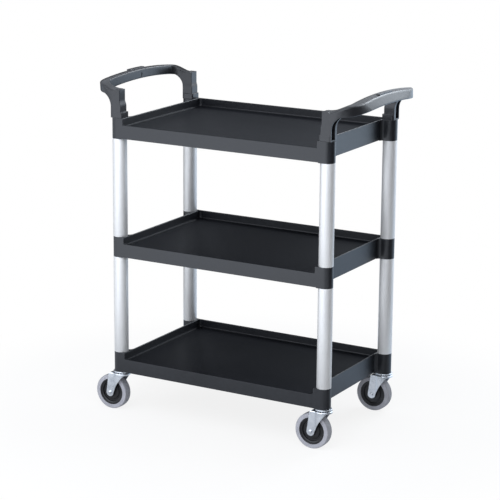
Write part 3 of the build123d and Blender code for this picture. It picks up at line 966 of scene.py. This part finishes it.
def seat(piece: bpy.types.Object, body: str, finish: Finish, *nodes: str) -> None:
    """Puts a made piece on its body, in place of the nodes that it stands for.

    Args:
        piece: The finished piece.
        body: The body that it rides on.
        finish: The finish that it has; not used.
        nodes: The names of the nodes that it replaces.
    """
    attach(piece, body)
    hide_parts(*nodes)
    LOG.info("%s rides on %s with %d faces", piece.name, body, len(piece.data.polygons))


@dataclass
class Shelves:
    """The three moulded shelves."""

    levels: Sequence[str] = ("top", "middle", "bottom")

    def build(self) -> None:
        """Dresses the shelves."""
        dress(SHELF_FINISH, *(f"{level}_shelf" for level in self.levels))


@dataclass
class Handles:
    """The two moulded end handles."""

    ends: Sequence[str] = ("left", "right")

    def build(self) -> None:
        """Dresses the handles."""
        dress(HANDLE_FINISH, *(f"{end}_handle" for end in self.ends))


@dataclass
class Uprights:
    """The eight tubes between the shelves, as large and as far apart as the frame's."""

    radius: float = (TUBE_HIGH.x - TUBE_LOW.x) / 2
    length: float = TUBE_HIGH.z - TUBE_LOW.z
    foot: float = TUBE_LOW.z
    pitch: float = SHELF_PITCH
    spacing_x: float = POST_SPACING.x
    spacing_y: float = POST_SPACING.y
    wall: float = 0.0015
    edge: float = 0.0006
    edge_middle: float = 0.3
    sides: int = 96
    rows: Sequence[str] = ("upper", "lower")

    def section(self) -> list[Point2]:
        """The tube's wall beside its axis, with eased ends.

        Returns:
            The outline: outward across, height up.
        """
        middle = self.edge * self.edge_middle
        return [
            (-self.wall, 0.0),
            (-self.edge, 0.0),
            (-middle, middle),
            (0.0, self.edge),
            (0.0, self.length - self.edge),
            (-middle, self.length - middle),
            (-self.edge, self.length),
            (-self.wall, self.length),
        ]

    def build(self) -> None:
        """Grows the tubes as one piece and puts them on the cart."""
        sizes = {
            "Radius": self.radius,
            "Sides": self.sides,
            "Spacing X": self.spacing_x,
            "Spacing Y": self.spacing_y,
            "Foot": self.foot,
            "Pitch": self.pitch,
        }
        recipe = Recipe("tubes_at_posts", sizes)
        tube = recipe.ring(recipe.size("Sides"), recipe.size("Radius"))
        inputs = {
            "Size X": recipe.size("Spacing X"),
            "Size Y": recipe.size("Spacing Y"),
            "Vertices X": 2,
            "Vertices Y": 2,
        }
        posts = recipe.node("GeometryNodeMeshGrid", inputs=inputs)
        inputs = {
            "Count": len(self.rows),
            "Start Location": recipe.vector(z=recipe.size("Foot")),
            "Offset": recipe.vector(z=recipe.size("Pitch")),
        }
        rows = recipe.node("GeometryNodeMeshLine", inputs=inputs)
        feet = recipe.real(recipe.repeat(rows, posts))
        host = section_object("upright_tubes", self.section())
        piece = recipe.grow(host, recipe.repeat(feet, tube), TUBE_FINISH)
        nodes = [f"{row}_tube_{corner.value}" for row in self.rows for corner in Corner]
        seat(piece, "cart", TUBE_FINISH, *nodes)


@dataclass
class Caster:
    """One swivel caster under a post, placed by the frame's joints.

    A point of a face has its distance from the axle, its distance along it, and the corner's radius.
    """

    corner: Corner
    sides: int = 144
    ball_count: int = 14
    ball_segments: int = 16
    ball_rings: int = 10
    hub_face: Sequence[EasedPoint] = (
        (0.00655, 0.0164, 0.0004),
        (0.0110, 0.0164, 0.0009),
        (0.0125, 0.0090, 0.0015),
        (0.0220, 0.0080, 0.0006),
        (0.0235, 0.0050, 0.0008),
        (0.0285, 0.0050, 0.0008),
        (0.0300, 0.0095, 0.0007),
        (0.0330, 0.0105, 0.0006),
        (0.0340, 0.0126, 0.0006),
        (0.0377, 0.0126, 0.0),
    )
    tread_face: Sequence[EasedPoint] = (
        (0.0377, 0.0126, 0.0),
        (0.0382, 0.0130, 0.0004),
        (0.0496, 0.0130, 0.0038),
        (0.0500, 0.0045, 0.0),
    )

    def both_faces(self, face: Sequence[EasedPoint]) -> list[Point2]:
        """A section that is the same on both sides of the wheel's middle."""
        back = [(radius, -width, ease) for radius, width, ease in face]
        return rounded(back + list(reversed(face)))

    def turned(self, name: str, outline: Sequence[Point2], finish: Finish) -> bpy.types.Object:
        """Sweeps a section round the axle.

        Args:
            name: The piece's name.
            outline: The section: distance from the axle, and along it.
            finish: The piece's finish.

        Returns:
            The piece, which carries its distance from the axle.
        """
        base = min(radius for radius, _ in outline)
        axle = joint_place(f"{self.corner.value}_wheel_spin")
        sizes = {"Inner": base, "Sides": self.sides, "Axle X": axle.x, "Axle Y": axle.y, "Axle Z": axle.z}
        recipe = Recipe(name, sizes)
        ring = recipe.ring(recipe.size("Sides"), recipe.size("Inner"))
        at = recipe.node("GeometryNodeInputPosition")
        flat = recipe.node("ShaderNodeVectorMath", {"operation": "MULTIPLY"}, {0: at, 1: (1.0, 1.0, 0.0)})
        away = recipe.node("ShaderNodeVectorMath", {"operation": "LENGTH"}, {0: flat}, "Value")
        marked = recipe.node(
            "GeometryNodeStoreNamedAttribute",
            {"data_type": "FLOAT", "domain": "POINT"},
            {"Geometry": ring, "Name": "from_axle", "Value": away},
        )
        centre = recipe.vector(recipe.size("Axle X"), recipe.size("Axle Y"), recipe.size("Axle Z"))
        inputs = {"Geometry": marked, "Translation": centre, "Rotation": (math.radians(90.0), 0.0, 0.0)}
        placed = recipe.node("GeometryNodeTransform", inputs=inputs)
        shifted = [(radius - base, along) for radius, along in outline]
        return recipe.grow(section_object(name, shifted), placed, finish)

    def wheel(self) -> None:
        """Makes the hub and the tread, which ride on the wheel."""
        label = self.corner.value
        hub = self.turned(f"hub_{label}", self.both_faces(self.hub_face), HUB_FINISH)
        seat(hub, f"{label}_wheel", HUB_FINISH, f"wheel_hub_{label}")
        tread = self.turned(f"tread_{label}", self.both_faces(self.tread_face), TREAD_FINISH)
        seat(tread, f"{label}_wheel", TREAD_FINISH, f"wheel_tread_{label}")

    def balls(self) -> None:
        """Makes the ring of balls, which rides on the swivel."""
        label = self.corner.value
        post = joint_place(f"{label}_swivel_turn")
        low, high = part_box(f"swivel_balls_{label}")
        ball_radius = (high.z - low.z) / 2
        sizes = {
            "Count": self.ball_count,
            "Ring": (high.x - low.x) / 2 - ball_radius,
            "Ball": ball_radius,
            "Post X": post.x,
            "Post Y": post.y,
            "Height": (low.z + high.z) / 2,
        }
        recipe = Recipe(f"ball_ring_{label}", sizes)
        inputs = {"Vertices": recipe.size("Count"), "Radius": recipe.size("Ring")}
        circle = recipe.node("GeometryNodeMeshCircle", {"fill_type": "NONE"}, inputs)
        inputs = {"Segments": self.ball_segments, "Rings": self.ball_rings, "Radius": recipe.size("Ball")}
        ball = recipe.node("GeometryNodeMeshUVSphere", inputs=inputs)
        centre = recipe.vector(recipe.size("Post X"), recipe.size("Post Y"), recipe.size("Height"))
        inputs = {"Geometry": recipe.repeat(circle, ball), "Translation": centre}
        placed = recipe.node("GeometryNodeTransform", inputs=inputs)
        piece = recipe.grow(mesh_object(f"balls_{label}"), placed, BALL_FINISH)
        seat(piece, f"{label}_swivel", BALL_FINISH, f"swivel_balls_{label}")

    def build(self) -> None:
        """Makes the wheel and the balls, and dresses the pieces that carry over."""
        label = self.corner.value
        self.wheel()
        self.balls()
        dress(FORK_FINISH, f"caster_fork_{label}", f"caster_stem_{label}")
        dress(BOLT_FINISH, f"axle_bolt_{label}", f"axle_nut_{label}", f"axle_sleeve_{label}")
        dress(SPRING_FINISH, f"grip_ring_{label}")
        dress(SOCKET_FINISH, f"stem_socket_{label}")


@dataclass(frozen=True)
class Softbox:
    """A soft lamp that stands round the cart and is aimed at a height on its middle."""

    name: str
    bearing: float
    away: float
    height: float
    wide: float
    tall: float
    radiance: float
    aim: float = 0.5
    colour: Colour = (0.93, 0.98, 1.07)

    def build(self) -> None:
        """Places the lamp."""
        lamp = bpy.data.lights.new(self.name, "AREA")
        lamp.shape = "RECTANGLE"
        lamp.color = self.colour
        lamp.size = self.wide
        lamp.size_y = self.tall
        lamp.energy = self.radiance * math.pi * self.wide * self.tall
        made = bpy.data.objects.new(self.name, lamp)
        turn = math.radians(self.bearing)
        made.location = (self.away * math.sin(turn), -self.away * math.cos(turn), self.height)
        backward = made.location - Vector((0.0, 0.0, self.aim))
        made.rotation_mode = "QUATERNION"
        made.rotation_quaternion = backward.to_track_quat("Z", "Y")
        made.visible_camera = False
        bpy.context.scene.collection.objects.link(made)


@dataclass(frozen=True)
class Flag:
    """A dark curved card that only gloss sees, so that bright metal keeps its edges."""

    name: str
    radius: float
    low: float
    high: float
    start: float
    end: float
    tone: float
    blue: float = 1.05
    steps: int = 48

    def build(self) -> bpy.types.Object:
        """Stands the card round the cart.

        Returns:
            The card.
        """
        points = []
        for k in range(self.steps + 1):
            turn = math.radians(self.start + (self.end - self.start) * k / self.steps)
            x, y = self.radius * math.sin(turn), -self.radius * math.cos(turn)
            points += [(x, y, self.low), (x, y, self.high)]
        faces = [(2 * k, 2 * k + 1, 2 * k + 3, 2 * k + 2) for k in range(self.steps)]
        made = mesh_object(self.name, points, faces=faces)
        material = new_material(self.name)
        wiring = Wiring(material.node_tree)
        cloth = wiring.glow((self.tone, self.tone, self.tone * self.blue))
        wiring.node("ShaderNodeOutputMaterial", inputs={"Surface": cloth})
        made.data.materials.append(material)
        for rays in ("camera", "diffuse", "shadow", "transmission"):
            setattr(made, f"visible_{rays}", False)
        return made


@dataclass
class Studio:
    """White floor, soft lamps, dark cards and the camera.

    What gloss sees of the floor is painted shade and light: a shaded tone before the cart, one behind it and
    one beside its right end, all fading out with distance, and a painted pool of light further before it.
    """

    bearing: float = 29.776
    pitch: float = 14.155
    roll: float = 0.457
    lens: float = 137.24
    sensor: float = 36.0
    eye: tuple[float, float, float] = (2.5515, -4.4818, 1.7700)
    ambient: float = 0.45
    cool: Colour = (0.95, 1.01, 1.10)
    # A painted cool tint in what gloss sees of the floor behind the cart.
    back_cool: Colour = (0.78, 0.98, 1.24)
    back_cool_y: Span = (0.0, 0.4)
    floor_half: float = 40.0
    floor_paint: Colour = (0.92, 0.92, 0.92)
    floor_glow: float = 0.84
    floor_fade: Span = (0.65, 1.05)
    # Painted shade that only gloss sees near the cart; the pool is a painted pool of light.
    front_tone: float = 0.56
    back_tone: float = 0.95
    front_to_back_y: Span = (-0.1, 0.5)
    side_tone: float = 0.10
    side_x: Span = (0.38, 0.52)
    side_y: Span = (-0.12, 0.12)
    pool_tone: float = 0.85
    pool_start: Span = (0.85, 1.25)
    pool_end: Span = (2.2, 3.0)
    pool_y: Span = (-0.8, -0.3)
    lamps: Sequence[Softbox] = (
        Softbox("front_softbox", bearing=-10.0, away=1.35, height=0.93, wide=2.2, tall=1.8, radiance=1.28),
        Softbox("top_softbox", bearing=-85.0, away=1.3, height=2.9, wide=1.8, tall=1.8, radiance=0.5),
        Softbox("fill_softbox", bearing=25.0, away=2.0, height=2.7, wide=3.0, tall=2.4, radiance=1.05),
        Softbox(
            "back_softbox", bearing=155.0, away=2.2, height=1.8, wide=1.6, tall=1.2, radiance=2.6,
            aim=0.9, colour=(0.88, 0.98, 1.08),
        ),
        Softbox(
            "edge_softbox", bearing=165.0, away=2.2, height=2.25, wide=1.0, tall=0.45, radiance=9.0,
            aim=0.9, colour=(0.92, 0.98, 1.05),
        ),
        Softbox(
            "low_softbox", bearing=152.0, away=2.2, height=0.65, wide=1.6, tall=0.9, radiance=0.9,
            aim=0.65, colour=(0.82, 0.97, 1.12),
        ),
    )
    flags: Sequence[Flag] = (
        Flag("low_flag", radius=2.2, low=0.0, high=0.78, start=6.0, end=70.0, tone=0.02),
        Flag("side_flag", radius=0.95, low=0.0, high=1.4, start=66.0, end=114.0, tone=0.12),
        Flag("back_flag", radius=1.3, low=0.0, high=1.4, start=193.0, end=220.0, tone=0.05),
        Flag("left_flag", radius=1.0, low=0.0, high=1.3, start=226.0, end=272.0, tone=0.12),
    )

    def seen_directly(self, wiring: Wiring) -> Signal:
        """1 for rays from the camera, from gloss and through clear things."""
        camera, gloss, clear = (wiring.ray(kind) for kind in (Ray.CAMERA, Ray.GLOSSY, Ray.CLEAR))
        return camera.highest(gloss).highest(clear)

    def white(self, wiring: Wiring) -> Signal:
        """White for the camera, and a slightly cool white for gloss."""
        return wiring.blend(wiring.ray(Ray.GLOSSY), WHITE, self.cool)

    def floor_shader(self, wiring: Wiring) -> Signal:
        """White paint that keeps the cart's shadow, and shows gloss painted shade, a painted pool of light
        and a cool tint behind.

        Args:
            wiring: The floor's nodes.

        Returns:
            The shader.
        """
        at = wiring.node("ShaderNodeTexCoord", output="Object")
        away = wiring.node("ShaderNodeVectorMath", {"operation": "LENGTH"}, {0: at}, "Value")
        x, y = (wiring.along(at, axis) for axis in "XY")
        gloss = wiring.ray(Ray.GLOSSY)
        far = away.step(*self.floor_fade)
        # Painted shade for gloss: darker before the cart and beside its right end, a painted pool of light
        # beyond, all fading to white with distance.
        near = y.step(*self.front_to_back_y) * (self.back_tone - self.front_tone) + self.front_tone
        side = x.step(*self.side_x) * (1.0 - y.step(*self.side_y))
        near = near + side * (self.side_tone - near)
        pool = away.step(*self.pool_start) * (1.0 - away.step(*self.pool_end))
        pool = pool * (1.0 - y.step(*self.pool_y))
        tone = gloss * ((1.0 - near) * (far - 1.0) + pool * self.pool_tone) + 1.0
        white = wiring.blend(gloss * y.step(*self.back_cool_y), self.white(wiring), self.back_cool)
        glow = wiring.glow(wiring.blend(tone, BLACK, white, clamped=False))
        paint = wiring.node("ShaderNodeBsdfDiffuse", inputs={"Color": (*self.floor_paint, 1.0)})
        share = self.seen_directly(wiring) * gloss.highest(far * (1.0 - self.floor_glow) + self.floor_glow)
        return wiring.node("ShaderNodeMixShader", inputs={0: share, 1: paint, 2: glow})

    def floor(self) -> bpy.types.Object:
        """Lays the white floor.

        Returns:
            The floor.
        """
        half = self.floor_half
        corners = [(-half, -half, 0.0), (half, -half, 0.0), (half, half, 0.0), (-half, half, 0.0)]
        made = mesh_object("studio_floor", corners, faces=[(0, 1, 2, 3)])
        material = new_material("white_floor")
        wiring = Wiring(material.node_tree)
        wiring.node("ShaderNodeOutputMaterial", inputs={"Surface": self.floor_shader(wiring)})
        made.data.materials.append(material)
        return made

    def sky(self) -> None:
        """A plain world: white where it is seen, softer where it only lights."""
        world = bpy.data.worlds.new("studio_world")
        world.use_nodes = True
        wiring = Wiring(world.node_tree)
        strength = self.seen_directly(wiring) * (1.0 - self.ambient) + self.ambient
        glow = wiring.node("ShaderNodeBackground", inputs={"Color": self.white(wiring), "Strength": strength})
        wiring.node("ShaderNodeOutputWorld", inputs={"Surface": glow})
        bpy.context.scene.world = world

    def camera(self) -> None:
        """The camera at the photograph's viewing angle."""
        turn, dip, tilt = (math.radians(angle) for angle in (self.bearing, self.pitch, self.roll))
        ahead = Vector((-math.sin(turn) * math.cos(dip), math.cos(turn) * math.cos(dip), -math.sin(dip)))
        right = Vector((math.cos(turn), math.sin(turn), 0.0))
        up = right.cross(ahead)
        across = right * math.cos(tilt) + up * math.sin(tilt)
        upright = up * math.cos(tilt) - right * math.sin(tilt)
        data = bpy.data.cameras.new("studio_camera")
        data.sensor_width = self.sensor
        data.lens = self.lens
        made = bpy.data.objects.new("studio_camera", data)
        pose = Matrix((across, upright, -ahead)).transposed().to_4x4()
        pose.translation = Vector(self.eye)
        made.matrix_world = pose
        bpy.context.scene.collection.objects.link(made)
        bpy.context.scene.camera = made

    def build(self) -> None:
        """Sets up the studio."""
        self.floor()
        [flag.build() for flag in self.flags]
        for lamp in self.lamps:
            lamp.build()
        self.sky()
        self.camera()
        bpy.context.scene.view_settings.view_transform = "Standard"


def main() -> None:
    """Builds the cart's pieces in order, then the studio round them."""
    logging.basicConfig(level=logging.INFO, format="%(name)s: %(message)s")
    Shelves().build()
    Handles().build()
    Uprights().build()
    for corner in Corner:
        Caster(corner).build()
    Studio().build()


if __name__ == "__main__":
    main()
